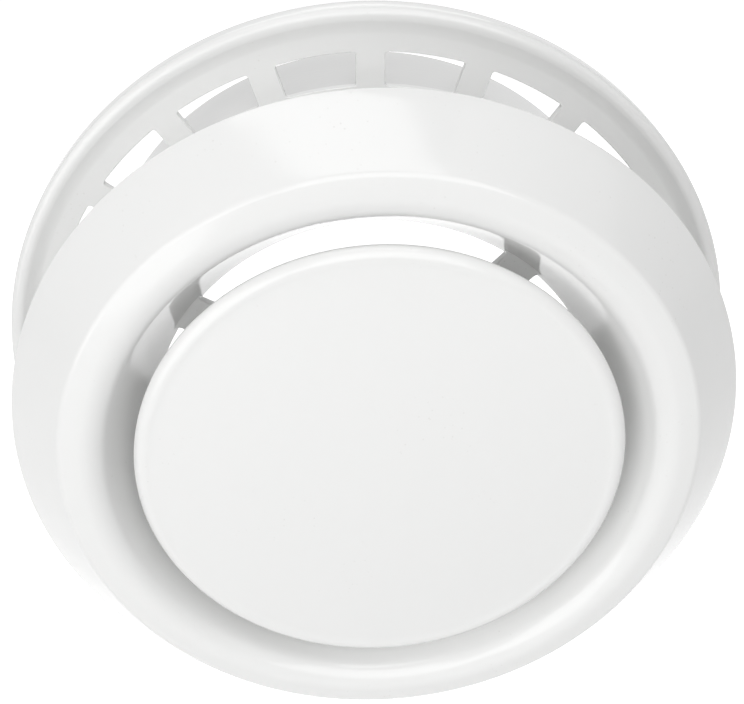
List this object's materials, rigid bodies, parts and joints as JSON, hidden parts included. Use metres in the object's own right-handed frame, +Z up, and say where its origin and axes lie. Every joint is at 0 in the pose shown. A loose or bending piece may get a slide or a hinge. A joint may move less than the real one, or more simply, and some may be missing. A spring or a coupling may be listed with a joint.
{
  "type": "ventilation disc valve",
  "caption": "Round white ventilation disc valve: domed disc on a threaded spindle in a flared body, held in a slotted mounting ring.",
  "frame": {"origin": "on the valve's axis, in the plane of the wall or ceiling that the mounting flange lies against", "axes": "+Y along the valve's axis into the duct, away from the room; +X to the right as seen from the room; +Z up"},
  "size_m": [0.1562, 0.0702, 0.1562],
  "materials": {
    "white_plastic": "glossy moulded",
    "foam": "matt closed-cell foam",
    "rubber": "matt",
    "brass": "turned",
    "zinc_steel": "bright zinc plated",
    "spring_steel": "dark phosphated"
  },
  "bodies": {
    "mount_ring": {"mounting_flange": "white_plastic", "wall_gasket": "foam"},
    "seal": {"neck_seal": "rubber"},
    "body": {"valve_body": "white_plastic", "hub_bush": "brass"},
    "stop": {"stop_ring": "spring_steel"},
    "disc": {"valve_disc": "white_plastic", "spindle": "zinc_steel"},
    "washer": {"lock_washer": "zinc_steel"},
    "nut": {"lock_nut": "zinc_steel"}
  },
  "joints": [
    {"name": "body_pull", "type": "slide", "parent": "mount_ring", "child": "seal", "axis": [0, -1, 0], "range_m": [-0.0296, 0.005]},
    {"name": "body_turn", "type": "hinge", "parent": "seal", "child": "body", "pos_m": [0, 0, 0], "axis": [0, 1, 0], "continuous": true},
    {"name": "disc_travel", "type": "slide", "parent": "body", "child": "stop", "axis": [0, -1, 0], "range_m": [-0.00969, 0.01]},
    {"name": "disc_turn", "type": "hinge", "parent": "stop", "child": "disc", "pos_m": [0, 0, 0], "axis": [0, -1, 0], "range_deg": [-2790, 2880]},
    {"name": "nut_travel", "type": "slide", "parent": "body", "child": "washer", "axis": [0, 1, 0], "range_m": [0, 0.00375]},
    {"name": "nut_turn", "type": "hinge", "parent": "washer", "child": "nut", "pos_m": [0, 0, 0], "axis": [0, 1, 0], "range_deg": [0, 1080]}
  ],
  "couplings": [
    {"joint": "disc_travel", "follows": "disc_turn", "m_per_rad": 0.00019894},
    {"joint": "nut_travel", "follows": "nut_turn", "m_per_rad": 0.00019894}
  ]
}
